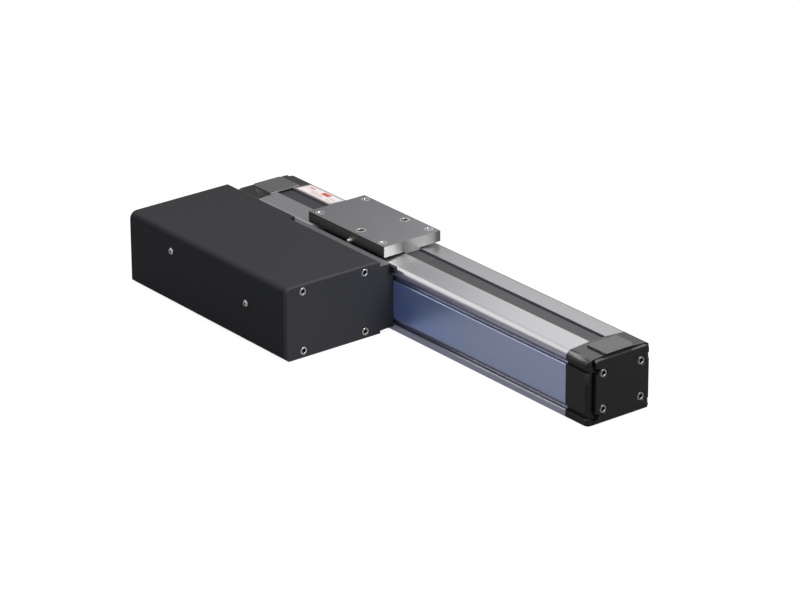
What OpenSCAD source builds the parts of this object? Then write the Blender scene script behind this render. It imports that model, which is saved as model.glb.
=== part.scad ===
// Ball screw linear module with a motor mounted beside it in a box.
// X runs along the profile towards the free end, Y towards the side away from
// the motor box, Z up. The origin is on the profile's underside, at mid-length.

/* [Profile] */
// Overall width of the extruded profile
profile_w = 75; // [65:1:90]
// Overall height of the extruded profile
profile_h = 67; // [62:1:80]
// Length of the profile between the end caps
profile_len = 478; // [400:1:900]
// Radius of the two upper edges
profile_r = 7; // [3:0.5:8]
// Outward slope of the top strips, in degrees
top_slope = 4.5; // [0:0.5:6]
// Width of the slot that the cover strip lies in
slot_w = 19.2; // [19:0.1:22]
// Opening of the side T-slots
tslot_w = 5; // [4:0.1:6]
// Height of the lower T-slot's centre
tslot_low_z = 9.7; // [8:0.1:12]
// Height of the upper T-slot's centre
tslot_high_z = 54.7; // [50:0.1:56]
// Distance of the bottom T-slots from the middle
tslot_base_y = 19; // [16:0.5:22]

/* [End caps] */
// Length of each end cap
cap_len = 31; // [28:1:40]
// Thickness of each cover plate
plate_t = 5; // [4:0.5:8]
// Width of each cover plate
plate_w = 62.5; // [58:0.5:70]
// Radius of the upright outer corners of each cap
cap_r = 4.5; // [2:0.5:5]
// Width of the raised pad on top of each cap
pad_w = 35; // [24:1:40]
// Height of the raised pad above the middle of the profile
pad_h = 1.2; // [0.4:0.1:1.2]
// Spacing of the cover plate screws across the cap
cap_screw_y = 45; // [44:0.5:46]
// Spacing of the cover plate screws up the cap
cap_screw_z = 35.5; // [34:0.5:37]

/* [Carriage] */
// Position of the carriage's middle along the profile
carriage_x = -93.5; // [-175:0.5:175]
// Length of the carriage plate
carriage_len = 120; // [110:1:130]
// Width of the carriage plate
carriage_w = 68.6; // [60:0.1:75]
// Thickness of the carriage plate
carriage_t = 11; // [9:0.5:16]
// Gap between the profile's top and the carriage plate
carriage_gap = 1.3; // [1.2:0.1:2]
// Spacing of the threaded inserts along the carriage
insert_x = 100; // [80:1:110]
// Spacing of the threaded inserts across the carriage
insert_y = 56; // [44:1:58]
// Spacing of the two larger bushings across the carriage
bushing_y = 49.6; // [44:0.2:54]
// Distance of the larger bushings from the carriage's middle
bushing_x = 14; // [5:1:20]
// How far each bushing is shifted along the carriage, in opposite directions
bushing_skew = 2.5; // [0:0.5:4]

/* [Screw drive] */
// Radius of the ball screw
screw_r = 8; // [6:0.5:8]
// Height of the ball screw's axis
screw_z = 43.5; // [43:0.5:44]
// Outer radius of the ball nut
nut_r = 13; // [12:0.5:13]
// Length of the ball nut
nut_len = 44; // [34:1:60]
// Radius of both belt pulleys under the belt
pulley_r = 14; // [13:0.5:14.5]

/* [Motor box] */
// Position of the box's front face
box_front_x = -15.5; // [-60:0.5:40]
// Position of the box's rear face
box_rear_x = -272.5; // [-275:0.5:-270]
// Outer side of the box
box_out_y = -164; // [-180:1:-155]
// Inner side of the box
box_in_y = -46; // [-47:0.5:-45]
// Underside of the box
box_low_z = 1.1; // [0.5:0.1:3]
// Top of the box
box_top_z = 74.2; // [72:0.1:80]
// Rounding of the upper outer edge of the box
box_r = 8; // [4:0.5:9]
// Wall thickness of the box cover
box_wall = 2.5; // [2:0.1:3]
// Height of the motor's axis
motor_z = 38; // [37:0.5:39]
// Distance of the motor's axis from the middle of the profile
motor_y = -107; // [-110:0.5:-104]

/* [Hidden] */
half_len = profile_len / 2;
cap_end = half_len + cap_len;
plate_end = cap_end + plate_t;
low_boss_z = profile_h / 2 - cap_screw_z / 2;
high_boss_z = profile_h / 2 + cap_screw_z / 2;
boss_y = cap_screw_y / 2;
car_z = profile_h + carriage_gap;
car_top = car_z + carriage_t;
rail_z = 8;
belt_x = -cap_end + 8.8;
belt_w = 9;
fit = 0.05;
flange_y = -profile_w / 2;
flange_top_z = 70;
step_x = -160.5;
notch_y = -53;
seal_front_x = -8;
nipple_z = 70.5;
flange_x = [-205, -150, -95, -40];

// A cross-section in Y and Z, pulled along X from x0.
module bar(x0, len)
  translate([x0, 0, 0])
    rotate([90, 0, 90])
      linear_extrude(height = len)
        children();

// A round bar along X, starting at x0.
module rod_x(x0, y, z, r, len)
  translate([x0, y, z])
    rotate([0, 90, 0])
      cylinder(r = r, h = len, $fn = 48);

// A round bar along Y, starting at y0.
module rod_y(x, y0, z, r, len)
  translate([x, y0, z])
    rotate([-90, 0, 0])
      cylinder(r = r, h = len, $fn = 32);

// A socket head screw standing on z = 0, head up.
module socket_screw(head_r, head_h, shank_r, shank_len, key) {
  difference() {
    cylinder(r = head_r, h = head_h, $fn = 32);
    translate([0, 0, head_h * 0.45])
      cylinder(r = key / 1.732, h = head_h, $fn = 6);
  }
  translate([0, 0, -shank_len])
    cylinder(r = shank_r, h = shank_len, $fn = 24);
}

// A slot for T-nuts, opening towards +Y of the sketch at y = 0.
module tslot(depth = 2.1, inner_w = 8.6, inner_d = 3.4) {
  translate([-tslot_w / 2, -depth - 0.1])
    square([tslot_w, depth + 1.1]);
  translate([-inner_w / 2, -depth - inner_d])
    square([inner_w, inner_d]);
}

// The outline that the profile and both end caps share, without slots.
module outline() {
  cy = profile_w / 2 - profile_r;
  edge_z = profile_h - tan(top_slope) * (cy - slot_w / 2);
  cz = edge_z - profile_r / cos(top_slope);
  ty = cy + profile_r * sin(top_slope);
  tz = cz + profile_r * cos(top_slope);
  translate([-profile_w / 2, 0])
    square([profile_w, cz]);
  for (s = [-1, 1])
    translate([s * cy, cz])
      circle(r = profile_r, $fn = 48);
  polygon([[-cy, cz - 1], [cy, cz - 1], [ty, tz], [slot_w / 2, profile_h],
           [-slot_w / 2, profile_h], [-ty, tz]]);
}

// Plain grooves along the sides of an end cap, in line with the T-slots.
module side_grooves() {
  for (s = [-1, 1])
    for (z = [tslot_low_z, tslot_high_z])
      translate([s * profile_w / 2, z])
        square([5, tslot_w], center = true);
}

// Places children at the four screw positions of an end cap.
module at_cap_screws() {
  for (y = [-boss_y, boss_y])
    for (z = [low_boss_z, high_boss_z])
      translate([0, y, z])
        children();
}

module profile_section() {
  difference() {
    outline();
    for (z = [tslot_low_z, tslot_high_z]) {
      translate([-profile_w / 2, z])
        rotate(90)
          tslot();
      translate([profile_w / 2, z])
        rotate(-90)
          tslot();
    }
    for (s = [-1, 1])
      translate([s * tslot_base_y, 0])
        rotate(180)
          tslot();
    difference() {
      translate([-27, rail_z])
        square([54, 53.2]);
      for (s = [-1, 1])
        for (z = [low_boss_z, high_boss_z])
          translate([s * boss_y, z])
            circle(r = 5, $fn = 32);
      for (s = [-1, 1])
        translate([s * 24.75 - 2.75, rail_z - 1])
          square([5.5, low_boss_z - rail_z + 1]);
      for (s = [-1, 1])
        translate([s * 24.75 - 2.75, high_boss_z])
          square([5.5, 12]);
    }
    translate([-slot_w / 2, 50])
      square([slot_w, 30]);
    for (s = [-1, 1])
      for (z = [low_boss_z, high_boss_z])
        translate([s * boss_y, z])
          circle(r = 2.5 + fit, $fn = 24);
  }
}

module profile() {
  color([0.78, 0.78, 0.79])
    difference() {
      bar(-half_len, profile_len)
        profile_section();
      for (i = [0 : 7])
        translate([-210 + i * 60, 0, rail_z - 6])
          cylinder(r = 2 + fit, h = 8, $fn = 24);
    }
}

module cover_strip() {
  color([0.36, 0.36, 0.37])
    translate([-half_len - 6, -7.35, 64.7])
      cube([profile_len + 12, 14.7, 0.8]);
}

module guide_rail() {
  color([0.7, 0.7, 0.72])
    difference() {
      translate([-232, -7.5, rail_z])
        cube([464, 15, 11]);
      for (s = [-1, 1])
        rod_x(-233, s * 8.2, rail_z + 7, 1.7, 466);
      for (i = [0 : 7])
        translate([-210 + i * 60, 0, rail_z]) {
          translate([0, 0, -1])
            cylinder(r = 2.25, h = 13, $fn = 24);
          translate([0, 0, 5.7])
            cylinder(r = 3.8, h = 6, $fn = 32);
        }
    }
}

module rail_screws() {
  color([0.3, 0.3, 0.31])
    for (i = [0 : 7])
      translate([-210 + i * 60, 0, rail_z + 5.7])
        socket_screw(3.5, 4, 2, 10, 3);
}

// Plan of a cap, with its two outer corners rounded.
module cap_footprint() {
  hw = profile_w / 2;
  translate([-1, -hw - 1])
    square([cap_len + 1 - cap_r, profile_w + 2]);
  translate([0, -hw + cap_r])
    square([cap_len, profile_w - 2 * cap_r]);
  for (s = [-1, 1])
    translate([cap_len - cap_r, s * (hw - cap_r)])
      circle(r = cap_r, $fn = 48);
}

// Solid end cap from the joint with the profile (x = 0) outwards. The raised
// pad starts at pad_from.
module cap_blank(pad_from) {
  difference() {
    union() {
      intersection() {
        bar(0, cap_len)
          outline();
        linear_extrude(height = profile_h + 1)
          cap_footprint();
      }
      translate([pad_from, -pad_w / 2, profile_h - 3])
        cube([cap_len - 4 - pad_from, pad_w, 3 + pad_h]);
      translate([pad_from, -pad_w / 2 + 4, profile_h - 3])
        cube([cap_len - pad_from, pad_w - 8, 3 + pad_h]);
      for (s = [-1, 1])
        translate([cap_len - 4, s * (pad_w / 2 - 4), profile_h - 3])
          cylinder(r = 4, h = 3 + pad_h, $fn = 32);
    }
    bar(-1, cap_len + 2)
      side_grooves();
    translate([-1, -7.6, 64.5])
      cube([8, 15.2, 1.2]);
    at_cap_screws()
      rod_x(-1, 0, 0, 2.75, cap_len + 2);
    for (s = [-1, 1])
      translate([cap_len / 2, s * 25, -1])
        cylinder(r = 2.5, h = 11, $fn = 32);
  }
}

module front_end_cap() {
  color([0.13, 0.13, 0.13])
    translate([half_len, 0, 0])
      difference() {
        cap_blank(6);
        rod_x(-1, 0, screw_z, 11, 9);
        rod_x(-1, 0, screw_z, 13 + fit, 19);
      }
}

// Cover plate between x = 0 and its thickness, with notches at the T-slots.
module cover_plate_blank() {
  low = 3.5;
  high = 65;
  hw = plate_w / 2;
  difference() {
    bar(0, plate_t)
      difference() {
        union() {
          translate([-hw + 3, low])
            square([plate_w - 6, high - low]);
          translate([-hw, low + 3])
            square([plate_w, high - low - 6]);
          for (s = [-1, 1])
            for (z = [low + 3, high - 3])
              translate([s * (hw - 3), z])
                circle(r = 3, $fn = 32);
        }
        for (s = [-1, 1])
          for (z = [tslot_low_z, tslot_high_z]) {
            translate([s * hw, z])
              square([3, tslot_w + 0.4], center = true);
            translate([s * (hw - 1.5), z])
              circle(r = tslot_w / 2 + 0.2, $fn = 32);
          }
      }
    at_cap_screws()
      rod_x(-1, 0, 0, 2.75, plate_t + 2);
  }
}

module front_cover_plate() {
  color([0.14, 0.14, 0.14])
    translate([cap_end, 0, 0])
      difference() {
        cover_plate_blank();
        at_cap_screws()
          rod_x(plate_t - 3.8, 0, 0, 4.7, 5);
      }
}

module front_cover_screws() {
  color([0.75, 0.73, 0.68])
    translate([plate_end - 3.8, 0, 0])
      at_cap_screws()
        rotate([0, 90, 0])
          socket_screw(4.25, 3.4, 2.5, 45, 4);
}

module rear_end_cap() {
  color([0.13, 0.13, 0.13])
    difference() {
      union() {
        translate([-half_len, 0, 0])
          rotate([0, 0, 180])
            cap_blank(0);
        rod_x(-half_len, 0, screw_z, 16.5, 11);
      }
      // bearing seat and lock nut room
      rod_x(-246, 0, screw_z, 14 + fit, 18.1);
      rod_x(-cap_end - 1, 0, screw_z, 12, 60);
      // belt room, open towards the motor
      difference() {
        translate([-cap_end - 1, -profile_w / 2 - 1, 19.5])
          cube([cap_end - 252.5, profile_w / 2 + 19, 41.5]);
        rod_x(-cap_end - 1, -boss_y, high_boss_z, 4.2, 20);
      }
    }
}

module rear_cover_plate() {
  color([0.14, 0.14, 0.14])
    translate([-cap_end, 0, 0])
      rotate([0, 0, 180])
        difference() {
          cover_plate_blank();
          at_cap_screws()
            rod_x(plate_t - 3.8, 0, 0, 4.7, 5);
        }
}

module rear_cover_screws() {
  color([0.75, 0.73, 0.68])
    translate([-plate_end + 3.8, 0, 0])
      at_cap_screws()
        rotate([0, -90, 0])
          socket_screw(4.25, 3.4, 2.5, 45, 4);
}

// A plain ring along X.
module ring_x(x0, len, r_out, r_in) {
  difference() {
    rod_x(x0, 0, screw_z, r_out, len);
    rod_x(x0 - 1, 0, screw_z, r_in, len + 2);
  }
}

module bearing_outer_rings() {
  color([0.72, 0.72, 0.73]) {
    ring_x(-245.9, 8, 14, 11.2);
    ring_x(-237.8, 8, 14, 11.2);
    ring_x(half_len + 9, 8, 13, 10.4);
  }
}

module bearing_inner_rings() {
  color([0.72, 0.72, 0.73]) {
    ring_x(-245.9, 8, 8.6, 6 + fit);
    ring_x(-237.8, 8, 8.6, 6 + fit);
    ring_x(half_len + 9, 8, 7.6, 5 + fit);
  }
}

module bearing_retainer() {
  color([0.35, 0.35, 0.36])
    ring_x(-229.7, 1.6, 13.9, 9.2);
}

module bumpers() {
  color([0.08, 0.08, 0.08]) {
    ring_x(-half_len + 11, 2.5, 16, 9.2);
    ring_x(half_len - 10, 10, 16, 9.2);
  }
}

// Outer edge of the flange beside the profile, in Y and Z, from y0 outwards.
module flange_edge(y0) {
  translate([y0, 4.2])
    square([flange_y - y0, 52.8]);
  translate([y0, 50])
    square([-42 - y0, flange_top_z - 50]);
  translate([y0, 66])
    square([-40.7 - y0, flange_top_z - 66]);
  translate([-42.5, 66])
    square([2.8, flange_top_z - 67]);
  translate([-40.7, flange_top_z - 1])
    circle(r = 1, $fn = 32);
}

module mounting_flange() {
  color([0.16, 0.16, 0.17])
    difference() {
      union() {
        bar(box_rear_x, box_front_x - box_rear_x - plate_t)
          flange_edge(box_in_y);
        translate([step_x + 0.1, notch_y + 0.1, 66.6])
          cube([box_front_x - plate_t - step_x - 0.1, box_in_y - notch_y, flange_top_z - 66.6]);
      }
      // belt window
      translate([-268.5, box_in_y - 1, 19])
        cube([16, 12, 43]);
      for (x = flange_x)
        for (z = [tslot_low_z, tslot_high_z])
          rod_y(x, box_in_y - 1, z, 2.25, 12);
      for (z = [13, 63])
        rod_y(-231, box_in_y - 1, z, 2.5 + fit, 8);
    }
}

module flange_seal() {
  color([0.08, 0.08, 0.08]) {
    translate([step_x, -41.9, 62])
      cube([seal_front_x - step_x, 3.7, 3.9]);
    translate([step_x, -39.6, 62])
      cube([seal_front_x - step_x, 1.4, 6.4]);
    translate([box_front_x + 0.1, -41.9, 62])
      cube([seal_front_x - box_front_x - 0.1, 3.7, 6.4]);
  }
}

module flange_screws() {
  color([0.3, 0.3, 0.31])
    for (x = flange_x)
      for (z = [tslot_low_z, tslot_high_z])
        translate([x, box_in_y, z])
          rotate([90, 0, 0])
            socket_screw(3.5, 2.2, 2, 13, 3);
}

module t_nuts() {
  color([0.6, 0.6, 0.6])
    for (x = flange_x)
      for (z = [tslot_low_z, tslot_high_z])
        difference() {
          translate([x - 6, -profile_w / 2 + 2.2, z - 4])
            cube([12, 3, 8]);
          rod_y(x, -profile_w / 2, z, 2 + fit, 8);
        }
}

// Long narrow box section of the motor cover, in Y and Z.
module box_section(inset, r_big, r_small) {
  y0 = box_out_y + inset;
  y1 = box_in_y - inset;
  z0 = box_low_z + inset;
  z1 = box_top_z - inset;
  translate([y0, z0 + r_small])
    square([y1 - y0, z1 - z0 - r_small - r_big]);
  translate([y0 + r_small, z0])
    square([y1 - y0 - r_small, r_small + 1]);
  translate([y0 + r_big, z1 - r_big - 1])
    square([y1 - y0 - r_big, r_big + 1]);
  translate([y0 + r_big, z1 - r_big])
    circle(r = r_big, $fn = 48);
  translate([y0 + r_small, z0 + r_small])
    circle(r = r_small, $fn = 32);
}

module box_cover() {
  color([0.15, 0.15, 0.16])
    difference() {
      union() {
        bar(box_rear_x + plate_t, box_front_x - box_rear_x - 2 * plate_t)
          box_section(0, box_r, 2.5);
      }
      // step beside the flange
      translate([step_x, notch_y, 66.5])
        cube([box_front_x - step_x, 10, 10]);
      bar(box_rear_x, box_front_x - box_rear_x)
        box_section(box_wall, box_r - box_wall, 1);
      // belt window and screw holes in the wall at the profile
      translate([-268, box_in_y - 4, 18])
        cube([15.5, 8, 44]);
      for (x = flange_x)
        for (z = [tslot_low_z, tslot_high_z])
          rod_y(x, box_in_y - 4, z, 3.8, 5);
      for (z = [13, 63])
        rod_y(-231, box_in_y - 4, z, 2.75, 5);
      rod_y(-202, box_out_y - 1, 55, 2.1, 5);
      rod_y(-80, box_out_y - 1, 40.5, 2.1, 5);
    }
}

// Places children at the four screw positions of the box plates.
module at_box_screws() {
  for (y = [-144, -70.8])
    for (z = [7.4, 67.9])
      translate([0, y, z])
        children();
}

module box_front_plate() {
  color([0.2, 0.2, 0.21])
    translate([box_front_x - plate_t, 0, 0])
      difference() {
        bar(0, plate_t) {
          difference() {
            box_section(0, 6.5, 2.5);
            translate([notch_y, 60])
              square([20, 20]);
            translate([-53.6, 0])
              square([20, 4.2]);
          }
          flange_edge(-55);
        }
        at_box_screws() {
          rod_x(-1, 0, 0, 2.75, plate_t + 2);
          rod_x(plate_t - 3.8, 0, 0, 4.7, 5);
        }
      }
}

module box_front_screws() {
  color([0.75, 0.73, 0.68])
    translate([box_front_x - 3.8, 0, 0])
      at_box_screws()
        rotate([0, 90, 0])
          socket_screw(4.25, 3.4, 2.5, 14, 4);
}

module tie_rods() {
  color([0.68, 0.68, 0.69])
    at_box_screws()
      difference() {
        rod_x(-236, 0, 0, 3.7, 236 + box_front_x - plate_t);
        rod_x(-237, 0, 0, 2.5 + fit, 14);
        rod_x(-34, 0, 0, 2.5 + fit, 40);
      }
}

module box_rear_plate() {
  color([0.15, 0.15, 0.16])
    translate([box_rear_x, 0, 0])
      difference() {
        bar(0, plate_t)
          box_section(0, box_r, 2.5);
        at_box_screws() {
          rod_x(-1, 0, 0, 2.75, plate_t + 2);
          rod_x(-1, 0, 0, 4.7, 4.8);
        }
      }
}

module box_rear_screws() {
  color([0.75, 0.73, 0.68])
    translate([box_rear_x + 3.8, 0, 0])
      at_box_screws()
        rotate([0, -90, 0])
          socket_screw(4.25, 3.4, 2.5, 44, 4);
}

module side_screw() {
  difference() {
    cylinder(r = 3.5, h = 2.2, $fn = 32);
    translate([0, 0, 1])
      cylinder(r = 1.45, h = 3, $fn = 6);
  }
  translate([0, 0, -6])
    cylinder(r = 2, h = 6, $fn = 24);
}

module box_side_screws() {
  color([0.75, 0.73, 0.68]) {
    translate([-202, box_out_y, 55])
      rotate([90, 0, 0])
        side_screw();
    translate([-80, box_out_y, 40.5])
      rotate([90, 0, 0])
        side_screw();
  }
}

module clinch_nuts() {
  color([0.6, 0.6, 0.6])
    for (p = [[-202, 55], [-80, 40.5]])
      difference() {
        rod_y(p[0], box_out_y + box_wall, p[1], 4, 4);
        rod_y(p[0], box_out_y, p[1], 2 + fit, 8);
      }
}

module motor_plate() {
  color([0.72, 0.72, 0.74])
    difference() {
      union() {
        translate([-246, -152, 4])
          cube([10, -48.6 + 152, 66]);
        translate([-246, -62, 4])
          cube([21, -48.6 + 62, 66]);
      }
      rod_x(-247, motor_y, motor_z, 25 + fit, 20);
      for (y = [-24.75, 24.75])
        for (z = [-24.75, 24.75])
          rod_x(-247, motor_y + y, motor_z + z, 2.5 + fit, 20);
      at_box_screws()
        rod_x(-247, 0, 0, 2.75, 20);
      for (z = [13, 63])
        rod_y(-231, -70, z, 2.75, 30);
    }
}

module motor_plate_screws() {
  color([0.3, 0.3, 0.31])
    for (z = [13, 63])
      translate([-231, -62, z])
        rotate([90, 0, 0])
          socket_screw(4.25, 5, 2.5, 20, 4);
}

module motor_body() {
  color([0.12, 0.12, 0.13])
    difference() {
      union() {
        translate([-236, motor_y - 30, motor_z - 30])
          cube([7, 60, 60]);
        bar(-229, 78)
          translate([motor_y, motor_z])
            difference() {
              square([60, 60], center = true);
              for (a = [0 : 90 : 270])
                rotate(a)
                  translate([27, 27])
                    square([10, 10], center = true);
            }
        rod_x(-239, motor_y, motor_z, 25, 4);
      }
      rod_x(-240, motor_y, motor_z, 7.4, 60);
      for (y = [-24.75, 24.75])
        for (z = [-24.75, 24.75])
          rod_x(-237, motor_y + y, motor_z + z, 2.75, 9);
    }
}

module encoder_housing() {
  color([0.1, 0.1, 0.1]) {
    translate([-151, motor_y - 25, motor_z - 25])
      cube([32, 50, 50]);
    translate([-147, motor_y - 8, motor_z + 25])
      cube([20, 16, 7]);
  }
}

module motor_screws() {
  color([0.3, 0.3, 0.31])
    for (y = [-24.75, 24.75])
      for (z = [-24.75, 24.75])
        translate([-229, motor_y + y, motor_z + z])
          rotate([0, 90, 0])
            socket_screw(2.45, 3, 2.4, 16, 2.5);
}

// Stadium around both pulleys, in Y and Z, at a given distance from them.
module belt_path(r) {
  dy = -motor_y;
  dz = screw_z - motor_z;
  translate([0, screw_z])
    circle(r = r, $fn = 48);
  translate([motor_y, motor_z])
    circle(r = r, $fn = 48);
  translate([0, screw_z])
    rotate(180 + atan2(dz, dy))
      translate([0, -r + 0.03])
        square([sqrt(dy * dy + dz * dz), 2 * r - 0.06]);
}

module drive_belt() {
  color([0.07, 0.07, 0.07])
    bar(belt_x - belt_w / 2, belt_w)
      difference() {
        belt_path(pulley_r + 1.6);
        belt_path(pulley_r + 0.3);
      }
}

module blank_label() {
  color([0.92, 0.92, 0.92])
    translate([-232, slot_w / 2, profile_h])
      rotate([-top_slope, 0, 0])
        translate([0, 4.2, 0])
          cube([48.5, 17, 0.2]);
}

module carriage_plate() {
  cx = carriage_x;
  color([0.52, 0.52, 0.54])
    difference() {
      union() {
        translate([cx - carriage_len / 2, -carriage_w / 2, car_z])
          cube([carriage_len, carriage_w, carriage_t]);
        translate([cx - carriage_len / 2, -9.2, 65.9])
          cube([carriage_len, 18.4, car_z - 65.9 + 1]);
        for (s = [-1, 1])
          translate([cx - 50, s * 8.475 - 0.725, 56.2])
            cube([100, 1.45, 12]);
      }
      for (x = [-insert_x / 2, insert_x / 2])
        for (y = [-insert_y / 2, insert_y / 2])
          translate([cx + x, y, car_top - 8])
            cylinder(r = 3.3 + fit, h = 9, $fn = 32);
      for (s = [-1, 1])
        translate([cx + bushing_x + s * bushing_skew, s * bushing_y / 2, car_top - 8])
          cylinder(r = 4 + fit, h = 9, $fn = 32);
      rod_y(carriage_x + 7.5, -carriage_w / 2 - 1, nipple_z, 1.5 + fit, 9);
    }
}

module carriage_inserts() {
  color([0.8, 0.79, 0.76])
    for (x = [-insert_x / 2, insert_x / 2])
      for (y = [-insert_y / 2, insert_y / 2])
        translate([carriage_x + x, y, car_top - 8])
          difference() {
            cylinder(r = 3.3, h = 7.9, $fn = 32);
            translate([0, 0, 0.8])
              cylinder(r = 2.5, h = 9, $fn = 32);
          }
}

module carriage_bushings() {
  color([0.85, 0.84, 0.81])
    for (s = [-1, 1])
      translate([carriage_x + bushing_x + s * bushing_skew, s * bushing_y / 2, car_top - 8])
        difference() {
          cylinder(r = 4, h = 7.9, $fn = 32);
          translate([0, 0, 0.8])
            cylinder(r = 3, h = 9, $fn = 32);
        }
}

module grease_nipple() {
  color([0.8, 0.72, 0.45])
    translate([carriage_x + 7.5, -carriage_w / 2, nipple_z])
      rotate([90, 0, 0]) {
        translate([0, 0, -6])
          cylinder(r = 1.5, h = 6, $fn = 24);
        cylinder(r = 2.1, h = 1, $fn = 6);
        cylinder(r = 1, h = 2.8, $fn = 24);
        translate([0, 0, 2.9])
          sphere(r = 1.4, $fn = 24);
      }
}

// Places children at the eight saddle screw positions.
module at_block_screws() {
  for (b = [-27, 27])
    for (x = [-11, 11])
      for (y = [-19.8, 19.8])
        translate([carriage_x + b + x, y, 0])
          children();
}

module saddle() {
  cx = carriage_x;
  color([0.66, 0.66, 0.68])
    difference() {
      union() {
        translate([cx - 50, -25, 28])
          cube([100, 50, 6]);
        translate([cx - 50, -15.6, 28])
          cube([100, 31.2, 32.2]);
      }
      rod_x(cx - 51, 0, screw_z, 9.4, 102);
      rod_x(cx + 50 - nut_len, 0, screw_z, nut_r + fit, nut_len + 1);
      for (s = [-1, 1])
        translate([cx - 51, s * 8.475 - 0.775, 56.15])
          cube([102, 1.55, 6]);
      at_block_screws()
        translate([0, 0, 27])
          cylinder(r = 2.25, h = 9, $fn = 24);
      for (x = [-36, 0, 36])
        for (s = [-1, 1])
          rod_y(cx + x, s * 12.5 - 4, 58.1, 1.5 + fit, 8);
    }
}

module saddle_screws() {
  color([0.3, 0.3, 0.31])
    at_block_screws()
      translate([0, 0, 34])
        socket_screw(3.5, 4, 2, 11, 3);
}

module web_screws() {
  color([0.3, 0.3, 0.31])
    for (x = [-36, 0, 36])
      for (s = [-1, 1])
        rod_y(carriage_x + x, s > 0 ? 9.25 : -15.25, 58.1, 1.5, 6);
}

module guide_blocks() {
  color([0.6, 0.6, 0.62])
    difference() {
      for (b = [-27, 27])
        translate([carriage_x + b, 0, 0]) {
          translate([-20, -16.5, 12])
            cube([40, 33, 16]);
          translate([-20, -23.5, 21.5])
            cube([40, 47, 6.5]);
        }
      translate([carriage_x - 60, -7.9, 7])
        cube([120, 15.8, 12.5]);
      at_block_screws()
        translate([0, 0, 20])
          cylinder(r = 2 + fit, h = 9, $fn = 24);
    }
}

module block_seals() {
  color([0.1, 0.1, 0.1])
    difference() {
      for (x = [-50, -7, 4, 47])
        translate([carriage_x + x, -16, 12.5])
          cube([3, 32, 15.3]);
      translate([carriage_x - 60, -7.8, 7])
        cube([120, 15.6, 12.4]);
    }
}

module ball_nut() {
  color([0.7, 0.7, 0.71])
    difference() {
      rod_x(carriage_x + 50 - nut_len, 0, screw_z, nut_r, nut_len);
      rod_x(carriage_x - 50, 0, screw_z, screw_r + 0.3, 120);
    }
}

module ball_screw() {
  color([0.72, 0.72, 0.74]) {
    rod_x(-229.7, 0, screw_z, screw_r, 229.7 + half_len + 8);
    rod_x(-cap_end + 1, 0, screw_z, 6, cap_end - 1 - 228);
    rod_x(half_len + 8, 0, screw_z, 5, 10);
  }
}

module lock_nut() {
  color([0.3, 0.3, 0.31])
    difference() {
      ring_x(-251, 5, 9.5, 6 + fit);
      for (a = [0 : 90 : 270])
        translate([-251.6, 0, screw_z])
          rotate([a, 0, 0])
            translate([0, -1.5, 8])
              cube([6, 3, 3]);
    }
}

// Toothed pulley with side flanges, centred on the belt plane at x = 0.
module pulley(bore) {
  rotate([0, 90, 0])
    difference() {
      union() {
        translate([0, 0, -belt_w / 2 - 0.4])
          cylinder(r = pulley_r - 0.8, h = belt_w + 0.8, $fn = 48);
        for (a = [0 : 20 : 340])
          rotate([0, 0, a])
            translate([pulley_r - 1.6, -1.2, -belt_w / 2 - 0.4])
              cube([1.55, 2.4, belt_w + 0.8]);
        translate([0, 0, -belt_w / 2 - 1.3])
          cylinder(r = pulley_r + 1.2, h = 1, $fn = 48);
        translate([0, 0, belt_w / 2 + 0.3])
          cylinder(r = pulley_r + 1.2, h = 1, $fn = 48);
      }
      translate([0, 0, -20])
        cylinder(r = bore, h = 40, $fn = 48);
    }
}

module screw_pulley() {
  color([0.62, 0.62, 0.64])
    translate([belt_x, 0, screw_z])
      pulley(6 + fit);
}

module motor_shaft() {
  color([0.74, 0.74, 0.75]) {
    rod_x(-265, motor_y, motor_z, 7, 60);
    rod_x(-205, motor_y, motor_z, 6.5, 10);
  }
}

module motor_pulley() {
  color([0.62, 0.62, 0.64])
    translate([belt_x, motor_y, motor_z])
      pulley(7 + fit);
}

profile();
cover_strip();
guide_rail();
rail_screws();
front_end_cap();
front_cover_plate();
front_cover_screws();
rear_end_cap();
rear_cover_plate();
rear_cover_screws();
bearing_outer_rings();
bearing_retainer();
bumpers();
mounting_flange();
flange_seal();
flange_screws();
t_nuts();
motor_plate();
motor_plate_screws();
motor_body();
encoder_housing();
motor_screws();
box_cover();
box_front_plate();
box_front_screws();
tie_rods();
box_rear_plate();
box_rear_screws();
box_side_screws();
clinch_nuts();
drive_belt();
blank_label();
carriage_plate();
carriage_inserts();
carriage_bushings();
grease_nipple();
saddle();
saddle_screws();
web_screws();
guide_blocks();
block_seals();
ball_nut();
ball_screw();
bearing_inner_rings();
lock_nut();
screw_pulley();
motor_shaft();
motor_pulley();
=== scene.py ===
import math

import bmesh
import bpy
from mathutils import Matrix, Vector


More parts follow.
